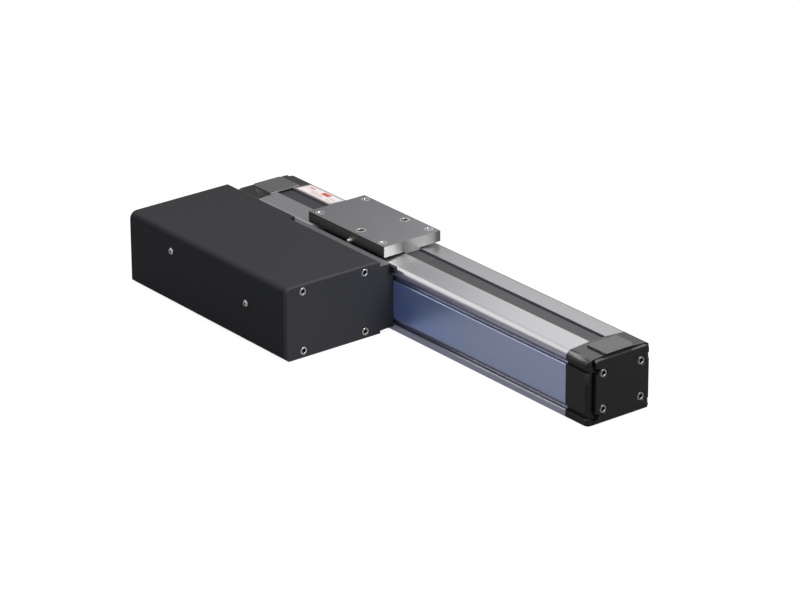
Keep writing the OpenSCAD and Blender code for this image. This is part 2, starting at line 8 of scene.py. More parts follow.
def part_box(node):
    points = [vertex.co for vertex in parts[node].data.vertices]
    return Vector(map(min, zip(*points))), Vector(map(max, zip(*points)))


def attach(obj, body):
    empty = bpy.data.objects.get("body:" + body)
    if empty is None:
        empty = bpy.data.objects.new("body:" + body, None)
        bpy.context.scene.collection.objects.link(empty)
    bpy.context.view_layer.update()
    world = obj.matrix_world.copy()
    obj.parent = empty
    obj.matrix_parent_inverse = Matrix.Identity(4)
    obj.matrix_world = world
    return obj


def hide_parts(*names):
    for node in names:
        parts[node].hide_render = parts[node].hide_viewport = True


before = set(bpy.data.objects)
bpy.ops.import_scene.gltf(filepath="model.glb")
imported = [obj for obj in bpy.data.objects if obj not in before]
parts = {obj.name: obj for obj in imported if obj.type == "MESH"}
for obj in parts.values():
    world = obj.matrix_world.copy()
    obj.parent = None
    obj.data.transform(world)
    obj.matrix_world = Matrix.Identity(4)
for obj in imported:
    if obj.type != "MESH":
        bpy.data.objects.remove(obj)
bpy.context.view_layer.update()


# ---------------------------------------------------------------------------
# Studio: a long lens from the free end, a pale floor and soft boxes above.
# The module lies flat on the floor as it would on a table.
# ---------------------------------------------------------------------------
def linear(hex_colour):
    """Linear red, green, blue and alpha of an sRGB hex colour."""
    channels = [int(hex_colour[i : i + 2], 16) / 255 for i in (1, 3, 5)]
    return tuple(
        c / 12.92 if c <= 0.04045 else ((c + 0.055) / 1.055) ** 2.4 for c in channels
    ) + (1.0,)


def add_node(tree, kind, values=None, links=None, **settings):
    """Adds a node; values fill its sockets, and links join them to others."""
    made = tree.nodes.new(kind)
    for name, value in settings.items():
        setattr(made, name, value)
    for name, value in (values or {}).items():
        made.inputs[name].default_value = value
    for name, source in (links or {}).items():
        tree.links.new(source, made.inputs[name])
    return made


lens_mm = 184.26
camera_place = Vector((2.8298, -2.2428, 1.5525))
camera_yaw = math.radians(52.122)
camera_pitch = math.radians(22.906)
camera_roll = math.radians(-0.3505)

ahead = Vector(
    (
        -math.cos(camera_pitch) * math.sin(camera_yaw),
        math.cos(camera_pitch) * math.cos(camera_yaw),
        -math.sin(camera_pitch),
    )
)
level_right = Vector((math.cos(camera_yaw), math.sin(camera_yaw), 0))
level_up = level_right.cross(ahead)
right = level_right * math.cos(camera_roll) + level_up * math.sin(camera_roll)
up = -level_right * math.sin(camera_roll) + level_up * math.cos(camera_roll)
camera_data = bpy.data.cameras.new("studio_camera")
camera_data.lens = lens_mm
camera_data.sensor_width = 36.0
camera_data.clip_end = 50.0
camera = bpy.data.objects.new("studio_camera", camera_data)
bpy.context.scene.collection.objects.link(camera)
turn = Matrix((right, up, -ahead)).transposed().to_4x4()
camera.matrix_world = Matrix.Translation(camera_place) @ turn
bpy.context.scene.camera = camera
bpy.context.scene.view_settings.view_transform = "Standard"


def by_ray(tree, for_light, for_mirror, for_camera):
    """A value that depends on what looks: light, a glossy surface, the lens."""
    path = add_node(tree, "ShaderNodeLightPath")
    direct = add_node(
        tree,
        "ShaderNodeMath",
        links={
            0: path.outputs["Is Camera Ray"],
            1: path.outputs["Is Transmission Ray"],
        },
        operation="MAXIMUM",
    )
    mirrored = add_node(
        tree,
        "ShaderNodeMapRange",
        values={"To Min": for_light, "To Max": for_mirror},
        links={"Value": path.outputs["Is Glossy Ray"]},
    )
    return add_node(
        tree,
        "ShaderNodeMapRange",
        values={"To Max": for_camera},
        links={"Value": direct.outputs[0], "To Min": mirrored.outputs[0]},
    ).outputs[0]


world = bpy.data.worlds.new("studio_world")
bpy.context.scene.world = world
world.use_nodes = True
sky = world.node_tree
sky.nodes.clear()
sky_light = add_node(
    sky,
    "ShaderNodeBackground",
    values={"Color": linear("#ffffff")},
    links={"Strength": by_ray(sky, 0.10, 0.27, 1.0)},
)
add_node(sky, "ShaderNodeOutputWorld", links={"Surface": sky_light.outputs[0]})

# the floor lies just under the module, so that the two never share a plane
floor_half, floor_drop = 9.0, 0.0002
corners = [
    (x * floor_half, y * floor_half, 0)
    for x, y in ((-1, -1), (1, -1), (1, 1), (-1, 1))
]
floor_mesh = bpy.data.meshes.new("floor")
floor_mesh.from_pydata(corners, [], [(0, 1, 2, 3)])
floor = bpy.data.objects.new("floor", floor_mesh)
bpy.context.scene.collection.objects.link(floor)
floor.location.z = -floor_drop
floor_paint = bpy.data.materials.new("white_floor_paint")
floor_paint.use_nodes = True
tree = floor_paint.node_tree
tree.nodes.clear()
glow = add_node(
    tree,
    "ShaderNodeEmission",
    values={"Color": linear("#ffffff")},
    links={"Strength": by_ray(tree, 0.0, 0.2, 0.92)},
)
matt = add_node(tree, "ShaderNodeBsdfDiffuse", values={"Color": linear("#7c7c7c")})
both = add_node(
    tree, "ShaderNodeAddShader", links={0: glow.outputs[0], 1: matt.outputs[0]}
)
add_node(tree, "ShaderNodeOutputMaterial", links={"Surface": both.outputs[0]})
floor_mesh.materials.append(floor_paint)


def soft_box(name, place, target, width, height, power, colour="#ffffff"):
    """A lamp of width by height metres at place, turned to target; watts."""
    data = bpy.data.lights.new(name, "AREA")
    data.shape = "RECTANGLE"
    data.size = width
    data.size_y = height
    data.energy = power
    data.color = linear(colour)[:3]
    lamp = bpy.data.objects.new(name, data)
    bpy.context.scene.collection.objects.link(lamp)
    lamp.location = place
    aim = (Vector(target) - Vector(place)).to_track_quat("-Z", "Y")
    lamp.rotation_euler = aim.to_euler()


soft_box("front_soft_box", (2.3, 0.5, 1.7), (0.1, 0, 0.03), 1.4, 1.2, 42)
soft_box("top_soft_box", (0.5, 0.2, 2.4), (0, 0, 0), 1.6, 1.6, 26)
soft_box("back_soft_box", (-0.10, 0.62, 0.76), (0.12, 0, 0.05), 1.25, 0.95, 3.4)
soft_box("left_soft_box", (-0.80, -0.34, 0.86), (0.15, 0, 0.05), 1.3, 0.7, 3.3)
soft_box("end_soft_box", (0.95, 0.75, 0.72), (-0.03, 0, 0.07), 0.6, 0.5, 2.0)
soft_box("side_soft_box", (0.75, -1.6, 0.75), (0.15, 0, 0.03), 1.2, 0.7, 5.5, "#9fb2f0")


# ---------------------------------------------------------------------------
# Profile: an extruded aluminium section with T-slots, natural anodised.
# Extruded, so it shows very fine lines along its length and a satin sheen;
# its anodised sides have a blue-grey tone next to the neutral top strips.
# ---------------------------------------------------------------------------
def dress(material, *names):
    """Puts one material on the named pieces of the CAD model."""
    for name in names:
        mesh = parts[name].data
        mesh.materials.clear()
        mesh.materials.append(material)


def new_material(name):
    material = bpy.data.materials.new(name)
    material.use_nodes = True
    material.node_tree.nodes.clear()
    return material, material.node_tree


def finish_material(tree, shader):
    add_node(tree, "ShaderNodeOutputMaterial", links={"Surface": shader.outputs[0]})


def grain(tree, cells, detail=3.0, roughness=0.5):
    """Noise in cells of so many millimetres along the object's X, Y and Z."""
    place = add_node(tree, "ShaderNodeTexCoord")
    spread = add_node(
        tree,
        "ShaderNodeMapping",
        values={"Scale": [1000.0 / millimetres for millimetres in cells]},
        links={"Vector": place.outputs["Object"]},
    )
    return add_node(
        tree,
        "ShaderNodeTexNoise",
        values={"Scale": 1.0, "Detail": detail, "Roughness": roughness},
        links={"Vector": spread.outputs[0]},
    )


def axes_of(tree, kind, output):
    """X, Y and Z of a place or a direction that a node gives."""
    source = add_node(tree, kind)
    split = add_node(tree, "ShaderNodeSeparateXYZ", links={0: source.outputs[output]})
    return split.outputs


def band(tree, value, low, high):
    """1 where value lies between low and high, else 0."""
    above = add_node(
        tree,
        "ShaderNodeMath",
        values={1: low},
        links={0: value},
        operation="GREATER_THAN",
    )
    below = add_node(
        tree,
        "ShaderNodeMath",
        values={1: high},
        links={0: value},
        operation="LESS_THAN",
    )
    return add_node(
        tree,
        "ShaderNodeMath",
        links={0: above.outputs[0], 1: below.outputs[0]},
        operation="MULTIPLY",
    )


profile_half, profile_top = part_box("profile")[1].yz
# heights of the T-slots, half their width, reach of their lips, half the width
# of the strip's slot, and how far out the outer walls begin
tslot_low_z, tslot_high_z = 0.0097, 0.0547
tslot_half = 0.0025
lip_reach = 0.0031
strip_slot_y = 0.0096
outer_wall_y = 0.028

anodised_profile, tree = new_material("satin_anodised_extrusion")
# die lines from 2 mm down to 0.06 mm apart, coarser than real so that they show
lines = grain(tree, (500.0, 2.0, 2.0), 5.0, 0.7)
facing = axes_of(tree, "ShaderNodeNewGeometry", "Normal")
sideways = add_node(
    tree, "ShaderNodeMath", links={0: facing["Y"]}, operation="ABSOLUTE"
)
side_share = add_node(
    tree,
    "ShaderNodeMapRange",
    values={"From Min": 0.80, "From Max": 0.98},
    links={"Value": sideways.outputs[0]},
)
spot = axes_of(tree, "ShaderNodeTexCoord", "Object")
off_middle = add_node(
    tree, "ShaderNodeMath", links={0: spot["Y"]}, operation="ABSOLUTE"
)
outside = add_node(
    tree,
    "ShaderNodeMath",
    values={1: outer_wall_y},
    links={0: off_middle.outputs[0]},
    operation="GREATER_THAN",
)
side = add_node(
    tree,
    "ShaderNodeMath",
    links={0: side_share.outputs[0], 1: outside.outputs[0]},
    operation="MULTIPLY",
)
# the panel between the two T-slots is bluer than the lips around it; on the motor
# box's side a deeper blue is painted towards the box as painted shade and reflection
panel = band(tree, spot["Z"], tslot_low_z + lip_reach, tslot_high_z - lip_reach)
away_from_box_shade = add_node(
    tree,
    "ShaderNodeMapRange",
    values={"From Min": 0.0, "From Max": 0.11},
    links={"Value": spot["X"]},
)
far_side = add_node(
    tree,
    "ShaderNodeMapRange",
    values={"From Min": 0.0, "From Max": 0.001},
    links={"Value": spot["Y"]},
)
outside_box_shade = add_node(
    tree,
    "ShaderNodeMath",
    links={0: away_from_box_shade.outputs[0], 1: far_side.outputs[0]},
    operation="MAXIMUM",
)
# the sockets of the two colours that a Mix node joins, and of its result
colour_a, colour_b, mixed = 6, 7, 2
panel_tone = add_node(
    tree,
    "ShaderNodeMix",
    values={colour_a: linear("#adc6fc"), colour_b: linear("#bcc5e2")},
    links={0: outside_box_shade.outputs[0]},
    data_type="RGBA",
)
side_tone = add_node(
    tree,
    "ShaderNodeMix",
    values={colour_a: linear("#c9cbd6")},
    links={0: panel.outputs[0], colour_b: panel_tone.outputs[mixed]},
    data_type="RGBA",
)
tone = add_node(
    tree,
    "ShaderNodeMix",
    values={colour_a: linear("#c4c3c6")},
    links={0: side.outputs[0], colour_b: side_tone.outputs[mixed]},
    data_type="RGBA",
)
fine_tone = add_node(
    tree,
    "ShaderNodeMix",
    values={0: 0.22},
    links={colour_a: tone.outputs[mixed], colour_b: lines.outputs["Color"]},
    data_type="RGBA",
    blend_type="OVERLAY",
)
# the walls of the strip's slot are as matt as the sides
wall_spot = band(
    tree, off_middle.outputs[0], strip_slot_y - 0.0006, strip_slot_y + 0.0007
)
slot_wall = add_node(
    tree,
    "ShaderNodeMath",
    links={0: wall_spot.outputs[0], 1: side_share.outputs[0]},
    operation="MULTIPLY",
)
matt_share = add_node(
    tree,
    "ShaderNodeMath",
    links={0: side.outputs[0], 1: slot_wall.outputs[0]},
    operation="MAXIMUM",
)
metal_share = add_node(
    tree,
    "ShaderNodeMapRange",
    values={"To Min": 0.95, "To Max": 0.6},
    links={"Value": matt_share.outputs[0]},
)
sheen_range = add_node(
    tree,
    "ShaderNodeMapRange",
    values={"To Min": 0.24, "To Max": 0.36},
    links={"Value": lines.outputs["Fac"]},
)
# the slot lips are rounded over 1 mm; they show as a light line on each slot
from_slot = spot["Z"]
between_slots = (tslot_low_z + tslot_high_z) / 2
for middle in (between_slots, tslot_high_z - between_slots):
    step = add_node(
        tree,
        "ShaderNodeMath",
        values={1: middle},
        links={0: from_slot},
        operation="SUBTRACT",
    )
    from_slot = add_node(
        tree, "ShaderNodeMath", links={0: step.outputs[0]}, operation="ABSOLUTE"
    ).outputs[0]
lip = add_node(
    tree,
    "ShaderNodeMapRange",
    values={"From Min": tslot_half - 0.0001, "From Max": tslot_half + 0.0011},
    links={"Value": from_slot},
)
lip_bump = add_node(
    tree,
    "ShaderNodeBump",
    values={"Strength": 1.0, "Distance": 0.001},
    links={"Height": lip.outputs[0]},
)
line_bump = add_node(
    tree,
    "ShaderNodeBump",
    values={"Strength": 0.12, "Distance": 0.00005},
    links={"Height": lines.outputs["Fac"], "Normal": lip_bump.outputs[0]},
)
finish_material(
    tree,
    add_node(
        tree,
        "ShaderNodeBsdfPrincipled",
        links={
            "Base Color": fine_tone.outputs[mixed],
            "Metallic": metal_share.outputs[0],
            "Roughness": sheen_range.outputs[0],
            "Normal": line_bump.outputs[0],
        },
    ),
)
dress(anodised_profile, "profile")


# ---------------------------------------------------------------------------
# Cover strip: a thin spring steel strip with a dark coating, stretched
# between the end caps. Rolled, so it is flat and slightly silky.
# ---------------------------------------------------------------------------
def plain_finish(name, colour, metallic, smoothest, roughest, cells, detail=2.0):
    """One colour all over; its roughness varies in cells of so many mm."""
    material, tree = new_material(name)
    texture = grain(tree, cells, detail)
    rough = add_node(
        tree,
        "ShaderNodeMapRange",
        values={"To Min": smoothest, "To Max": roughest},
        links={"Value": texture.outputs["Fac"]},
    )
    finish_material(
        tree,
        add_node(
            tree,
            "ShaderNodeBsdfPrincipled",
            values={"Base Color": linear(colour), "Metallic": metallic},
            links={"Roughness": rough.outputs[0]},
        ),
    )
    return material


# rolling lines 0.56 mm apart, coarser than real so that they show
rolled = (166.7, 0.556, 0.556)
coated_strip = plain_finish("coated_spring_steel", "#58585a", 0.85, 0.34, 0.46, rolled, 3.0)
dress(coated_strip, "cover_strip")


# ---------------------------------------------------------------------------
# End caps and cover plates: die-cast and milled aluminium, black anodised.
# Matt black with a fine blasted grain and slightly rounded edges.
# ---------------------------------------------------------------------------
sharp_edge = math.radians(32)


def soften_edges(piece, width):
    """Welds the faces of a CAD piece and rounds its sharp edges by width."""
    weld = piece.modifiers.new("weld", "WELD")
    weld.merge_threshold = 0.00001
    bevel = piece.modifiers.new("edge_break", "BEVEL")
    bevel.width = width
    bevel.segments = 2
    bevel.limit_method = "ANGLE"
    bevel.angle_limit = sharp_edge
    bevel.harden_normals = True
    bevel.use_clamp_overlap = True


# heights of the caps' shoulders and of the raised pads on them
shelf_z = profile_top
pad_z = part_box("front_end_cap")[1].z

black_anodised, tree = new_material("black_anodised_aluminium")
# bead-blasted grain
blast = grain(tree, (0.303,) * 3, 2.0)
blast_bump = add_node(
    tree,
    "ShaderNodeBump",
    values={"Strength": 0.10, "Distance": 0.00004},
    links={"Height": blast.outputs["Fac"]},
)
blast_rough = add_node(
    tree,
    "ShaderNodeMapRange",
    values={"To Min": 0.26, "To Max": 0.36},
    links={"Value": blast.outputs["Fac"]},
)
# the caps are sealed after anodising, which shows most on the upper faces and
# above all on the rounded shoulders
cap_facing = axes_of(tree, "ShaderNodeNewGeometry", "Normal")
cap_across = add_node(
    tree, "ShaderNodeMath", links={0: cap_facing["Y"]}, operation="ABSOLUTE"
)
turned_out = add_node(
    tree,
    "ShaderNodeMapRange",
    values={"From Min": 0.12, "From Max": 0.45},
    links={"Value": cap_across.outputs[0]},
)
turned_up = add_node(
    tree,
    "ShaderNodeMapRange",
    values={"From Min": 0.1, "From Max": 0.5},
    links={"Value": cap_facing["Z"]},
)
# painted light: the rear cap beside the box gets less coat and a lighter pad tone
# than the front cap, to match how light falls on each end
cap_spot = axes_of(tree, "ShaderNodeTexCoord", "Object")
cap_end_light_share = add_node(
    tree,
    "ShaderNodeMapRange",
    values={"From Min": -0.2, "From Max": 0.1, "To Min": 0.15, "To Max": 1.0},
    links={"Value": cap_spot["X"]},
)
shoulder = add_node(
    tree,
    "ShaderNodeMath",
    links={0: turned_out.outputs[0], 1: cap_end_light_share.outputs[0]},
    operation="MULTIPLY",
)
sealed = add_node(
    tree,
    "ShaderNodeMapRange",
    values={"To Min": 0.27, "To Max": 1.0},
    links={"Value": shoulder.outputs[0]},
)
coat = add_node(
    tree,
    "ShaderNodeMath",
    links={0: sealed.outputs[0], 1: turned_up.outputs[0]},
    operation="MULTIPLY",
)
# the raised pads are ground flat after anodising and show a little lighter
ground_pad = add_node(
    tree,
    "ShaderNodeMapRange",
    values={"From Min": shelf_z + 0.00002, "From Max": shelf_z + 0.0003},
    links={"Value": cap_spot["Z"]},
)
# the pad's tone is painted light by end: lighter on the rear cap, darker on the front
pad_tone = add_node(
    tree,
    "ShaderNodeMix",
    values={colour_a: linear("#5a5a5b"), colour_b: linear("#414142")},
    links={0: cap_end_light_share.outputs[0]},
    data_type="RGBA",
)
cap_colour = add_node(
    tree,
    "ShaderNodeMix",
    values={colour_a: linear("#0e0e0f")},
    links={0: ground_pad.outputs[0], colour_b: pad_tone.outputs[mixed]},
    data_type="RGBA",
)
# painted highlight: their upright edges are painted bright, hiding the shade on the step
pad_edge_painted_highlight = band(tree, cap_spot["Z"], shelf_z + 0.00005, pad_z - 0.0002)
edged_colour = add_node(
    tree,
    "ShaderNodeMix",
    values={colour_b: linear("#a0a0a0")},
    links={0: pad_edge_painted_highlight.outputs[0], colour_a: cap_colour.outputs[mixed]},
    data_type="RGBA",
)
finish_material(
    tree,
    add_node(
        tree,
        "ShaderNodeBsdfPrincipled",
        values={
            "Specular IOR Level": 0.35,
            "Coat IOR": 2.3,
            "Coat Roughness": 0.25,
        },
        links={
            "Base Color": edged_colour.outputs[mixed],
            "Coat Weight": coat.outputs[0],
            "Roughness": blast_rough.outputs[0],
            "Normal": blast_bump.outputs[0],
        },
    ),
)
dress(
    black_anodised,
    "front_end_cap",
    "rear_end_cap",
    "front_cover_plate",
    "rear_cover_plate",
)
for end in ("front", "rear"):
    soften_edges(parts[end + "_end_cap"], 0.0011)
    soften_edges(parts[end + "_cover_plate"], 0.0007)


# ---------------------------------------------------------------------------
# Socket head screws: cold-headed stainless steel with a hexagon socket.
# Bright, with a chamfered rim and a dark socket.
# ---------------------------------------------------------------------------
bright_screw, tree = new_material("stainless_steel_screw")
# marks of the header and the lathe
turned = grain(tree, (0.25,) * 3, 2.0)
turned_rough = add_node(
    tree,
    "ShaderNodeMapRange",
    values={"To Min": 0.18, "To Max": 0.32},
    links={"Value": turned.outputs["Fac"]},
)
# painted shade: the screws at the free end are painted a little darker than the others
screw_spot = axes_of(tree, "ShaderNodeTexCoord", "Object")
free_end_painted_shade = add_node(
    tree,
    "ShaderNodeMapRange",
    values={"From Min": 0.20, "From Max": 0.25},
    links={"Value": screw_spot["X"]},
)
screw_colour = add_node(
    tree,
    "ShaderNodeMix",
    values={colour_a: linear("#d8d4cc"), colour_b: linear("#9c978f")},
    links={0: free_end_painted_shade.outputs[0]},
    data_type="RGBA",
)
finish_material(
    tree,
    add_node(
        tree,
        "ShaderNodeBsdfPrincipled",
        values={"Metallic": 1.0},
        links={
            "Base Color": screw_colour.outputs[mixed],
            "Roughness": turned_rough.outputs[0],
        },
    ),
)

# painted shade: the bottoms of the sockets are dark steel, so that they read as deep
socket_painted_shade = plain_finish("dark_steel_socket_shade", "#2a2928", 0.7, 0.3, 0.45, (0.4,) * 3)

to_metres = Matrix.Diagonal((0.001, 0.001, 0.001, 1))
crease = math.radians(35)


def add_rings(bm, rings, move, close_start=True, close_end=True):
    """Joins equal rings of points, placed by move, into one surface of quads."""
    rows = [[bm.verts.new(move @ Vector(p)) for p in ring] for ring in rings]
    count = len(rows[0])
    for a, b in zip(rows, rows[1:]):
        for i in range(count):
            j = (i + 1) % count
            bm.faces.new((a[i], a[j], b[j], b[i]))
    if close_start:
        bm.faces.new(list(reversed(rows[0])))
    if close_end:
        bm.faces.new(rows[-1])


def piece_from(bm, name, material, body):
    """Turns a bmesh into a visible piece that rides on a body."""
    bmesh.ops.recalc_face_normals(bm, faces=bm.faces)
    mesh = bpy.data.meshes.new(name)
    bm.to_mesh(mesh)
    bm.free()
    mesh.materials.append(material)
    piece = bpy.data.objects.new(name, mesh)
    bpy.context.scene.collection.objects.link(piece)
    mesh.shade_smooth()
    mesh.set_sharp_from_angle(angle=crease)
    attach(piece, body)
    return piece


def round_ring(r, h, count=36):
    return [
        (r * math.cos(2 * math.pi * i / count), r * math.sin(2 * math.pi * i / count), h)
        for i in range(count)
    ]


def hexagon_ring(across, h, count=36):
    ring = []
    for i in range(count):
        a = 2 * math.pi * i / count
        off = (a + math.pi / 6) % (math.pi / 3) - math.pi / 6
        r = across / 2 / math.cos(off)
        ring.append((r * math.cos(a), r * math.sin(a), h))
    return ring


def socket_head(shell, recess, place, outward, sizes):
    """One screw in mm, with its seat at place and its head towards outward."""
    head_r, head_h, shank_r, shank_len, key, dome = sizes
    flat = head_h - (0.5 if dome else 0.12)
    outside = [
        round_ring(shank_r * 0.8, -shank_len),
        round_ring(shank_r, -shank_len + 0.5),
        round_ring(shank_r, 0),
        round_ring(head_r - 0.15, 0),
        round_ring(head_r, 0.15),
        round_ring(head_r, flat - 0.35 - dome),
        round_ring(head_r - 0.12, flat - 0.08 - dome * 0.6),
        round_ring(head_r - 0.45 - dome, head_h),
        round_ring(key / 2 + 0.72, head_h),
        hexagon_ring(key + 0.55, head_h - 0.04),
        hexagon_ring(key, head_h - 0.3),
    ]
    inside = [
        hexagon_ring(key, head_h - 0.3),
        hexagon_ring(key, head_h * 0.35),
        round_ring(0.3, head_h * 0.3),
    ]
    facing = Vector(outward).to_track_quat("Z", "Y").to_matrix().to_4x4()
    move = Matrix.Translation(place) @ facing @ to_metres
    add_rings(shell, outside, move, close_end=False)
    add_rings(recess, inside, move, close_start=False)


def screw_group(name, node, places, outward, body, sizes):
    """Like screws in the places of a CAD node, which they replace."""
    shell, recess = bmesh.new(), bmesh.new()
    for place in places:
        socket_head(shell, recess, place, outward, sizes)
    group = piece_from(shell, name, bright_screw, body)
    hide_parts(node)
    piece_from(recess, name + "_sockets", socket_painted_shade, body)


# head radius and height, shank radius and length, key width and dome height of
# each kind of screw in mm, and how deep the socket heads are sunk, in metres
cap_screw = (4.25, 3.4, 2.5, 45.0, 4.0, 0.0)
box_front_screw = (4.25, 3.4, 2.5, 14.0, 4.0, 0.0)
box_rear_screw = (4.25, 3.4, 2.5, 44.0, 4.0, 0.0)
button_screw = (3.5, 2.2, 2.0, 6.0, 2.5, 0.9)
sunk = 0.0038

cap_screw_places = [(y, z) for y in (-0.0225, 0.0225) for z in (0.01575, 0.05125)]
cap_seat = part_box("front_cover_plate")[1].x - sunk
screw_group(
    "front_plate_socket_screws",
    "front_cover_screws",
    [(cap_seat, y, z) for y, z in cap_screw_places],
    (1, 0, 0),
    "frame",
    cap_screw,
)
screw_group(
    "rear_plate_socket_screws",
    "rear_cover_screws",
    [(-cap_seat, y, z) for y, z in cap_screw_places],
    (-1, 0, 0),
    "frame",
    cap_screw,
)
box_screw_places = [(y, z) for y in (-0.144, -0.0708) for z in (0.0074, 0.0679)]
box_front_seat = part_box("box_front_plate")[1].x - sunk
box_rear_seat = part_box("box_rear_plate")[0].x + sunk
screw_group(
    "box_front_socket_screws",
    "box_front_screws",
    [(box_front_seat, y, z) for y, z in box_screw_places],
    (1, 0, 0),
    "frame",
    box_front_screw,
)
screw_group(
    "box_rear_socket_screws",
    "box_rear_screws",
    [(box_rear_seat, y, z) for y, z in box_screw_places],
    (-1, 0, 0),
    "frame",
    box_rear_screw,
)
box_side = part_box("box_cover")[0].y
screw_group(
    "box_side_button_screws",
    "box_side_screws",
    [(-0.202, box_side, 0.055), (-0.080, box_side, 0.0405)],
    (0, -1, 0),
    "frame",
    button_screw,
)


# ---------------------------------------------------------------------------
# Motor box: a bent and welded sheet cover, powder coated black, closed by a
# rear plate. The coat has a fine orange-peel texture and no gloss.
# ---------------------------------------------------------------------------
powder_coat, tree = new_material("black_powder_coat")
peel = grain(tree, (0.714,) * 3, 2.0, 0.6)
peel_bump = add_node(
    tree,
    "ShaderNodeBump",
    values={"Strength": 0.18, "Distance": 0.00006},
    links={"Height": peel.outputs["Fac"]},
)
# painted light: the upper side is painted a shade greyer than the upright ones
box_facing = axes_of(tree, "ShaderNodeNewGeometry", "Normal")
box_top_painted_light = add_node(
    tree,
    "ShaderNodeMapRange",
    values={"From Min": 0.3, "From Max": 0.95},
    links={"Value": box_facing["Z"]},
)
box_colour = add_node(
    tree,
    "ShaderNodeMix",
    values={colour_a: linear("#272729"), colour_b: linear("#2d2d2f")},
    links={0: box_top_painted_light.outputs[0]},
    data_type="RGBA",
)
finish_material(
    tree,
    add_node(
        tree,
        "ShaderNodeBsdfPrincipled",
        values={"Roughness": 0.55, "Specular IOR Level": 0.2},
        links={
            "Base Color": box_colour.outputs[mixed],
            "Normal": peel_bump.outputs[0],
        },
    ),
)
dress(powder_coat, "box_cover", "box_rear_plate")
soften_edges(parts["box_rear_plate"], 0.0006)


# ---------------------------------------------------------------------------
# Box front plate and flange: milled aluminium plate, anodised dark grey.
# Flat and satin, a little lighter than the powder coated cover; the top of
# the flange was milled after anodising and is bare metal.
# ---------------------------------------------------------------------------
flange_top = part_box("mounting_flange")[1].z

charcoal, tree = new_material("charcoal_anodised_plate")
# etched grain
plate_grain = grain(tree, (0.4545,) * 3, 2.0)
plate_rough = add_node(
    tree,
    "ShaderNodeMapRange",
    values={"To Min": 0.42, "To Max": 0.55},
    links={"Value": plate_grain.outputs["Fac"]},
)
ledge_spot = axes_of(tree, "ShaderNodeTexCoord", "Object")
ledge_facing = axes_of(tree, "ShaderNodeNewGeometry", "Normal")
at_top = band(tree, ledge_spot["Z"], flange_top - 0.0008, flange_top + 0.0006)
upward = band(tree, ledge_facing["Z"], 0.5, 1.1)
ledge = add_node(
    tree,
    "ShaderNodeMath",
    links={0: at_top.outputs[0], 1: upward.outputs[0]},
    operation="MULTIPLY",
)
plate_colour = add_node(
    tree,
    "ShaderNodeMix",
    values={colour_a: linear("#3a3a3d"), colour_b: linear("#737376")},
    links={0: ledge.outputs[0]},
    data_type="RGBA",
)
bare = add_node(
    tree,
    "ShaderNodeMapRange",
    values={"To Min": 0.0, "To Max": 0.5},
    links={"Value": ledge.outputs[0]},
)
finish_material(
    tree,
    add_node(
        tree,
        "ShaderNodeBsdfPrincipled",
        values={"Specular IOR Level": 0.25},
        links={
            "Base Color": plate_colour.outputs[mixed],
            "Metallic": bare.outputs[0],
            "Roughness": plate_rough.outputs[0],
        },
    ),
)
dress(charcoal, "box_front_plate", "mounting_flange")
soften_edges(parts["box_front_plate"], 0.0006)
soften_edges(parts["mounting_flange"], 0.0004)


# ---------------------------------------------------------------------------
# Sticker: a plain white film on the top strip behind the carriage, slightly
# glossy, with a thin pink frame, pink bars and a red block, and no lettering.
# ---------------------------------------------------------------------------
# its corner, its size and corner radius, and the place and width of its frame
label_corner = Vector((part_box("blank_label")[0].x - 0.004, strip_slot_y + 0.002))
label_length, label_width, corner_r = 0.0545, 0.0190, 0.0012
frame_gap, frame_line = 0.0010, 0.0007

film, tree = new_material("white_label_film")
film_spot = axes_of(tree, "ShaderNodeTexCoord", "Object")


def patch(tree, x0, x1, y0, y1):
    """1 within a rectangle measured in metres from the sticker's corner."""
    along = band(tree, film_spot["X"], label_corner.x + x0, label_corner.x + x1)
    across = band(tree, film_spot["Y"], label_corner.y + y0, label_corner.y + y1)
    return add_node(
        tree,
        "ShaderNodeMath",
        links={0: along.outputs[0], 1: across.outputs[0]},
        operation="MULTIPLY",
    )


def inset_patch(tree, inset):
    return patch(tree, inset, label_length - inset, inset, label_width - inset)


printed = add_node(
    tree,
    "ShaderNodeMath",
    links={
        0: inset_patch(tree, frame_gap).outputs[0],
        1: inset_patch(tree, frame_gap + frame_line).outputs[0],
    },
    operation="SUBTRACT",
)
# where each bar begins and ends along the sticker, and then across it
for bar in (
    (0.005, 0.014, 0.0125, 0.0155),
    (0.018, 0.036, 0.0045, 0.0055),
    (0.016, 0.034, 0.0070, 0.0080),
    (0.006, 0.022, 0.0095, 0.0103),
    (0.042, 0.050, 0.0045, 0.0058),
    (0.042, 0.050, 0.0090, 0.0103),
):
    printed = add_node(
        tree,
        "ShaderNodeMath",
        links={0: printed.outputs[0], 1: patch(tree, *bar).outputs[0]},
        operation="MAXIMUM",
    )
red_bar = patch(tree, 0.0262, 0.0380, 0.0102, 0.0165)
lined = add_node(
    tree,
    "ShaderNodeMix",
    values={colour_a: linear("#efe8e7"), colour_b: linear("#d39a94")},
    links={0: printed.outputs[0]},
    data_type="RGBA",
)
barred = add_node(
    tree,
    "ShaderNodeMix",
    values={colour_b: linear("#cf5844")},
    links={0: red_bar.outputs[0], colour_a: lined.outputs[mixed]},
    data_type="RGBA",
)
finish_material(
    tree,
    add_node(
        tree,
        "ShaderNodeBsdfPrincipled",
        values={"Roughness": 0.35},
        links={"Base Color": barred.outputs[mixed]},
    ),
)
dress(film, "blank_label")

# the film lies on the sloped strip and bends over the start of the round edge
slope = math.radians(4.5)
edge_r = 0.007
edge_y = profile_half - edge_r


def strip_height(y):
    """Top of the profile at a distance y from its middle, in metres."""
    if y <= edge_y + edge_r * math.sin(slope):
        return profile_top - math.tan(slope) * (y - strip_slot_y)
    fall = math.tan(slope) * (edge_y - strip_slot_y) + edge_r / math.cos(slope)
    return profile_top - fall + math.sqrt(edge_r**2 - (y - edge_y) ** 2)


sheet = bmesh.new()
columns = 24
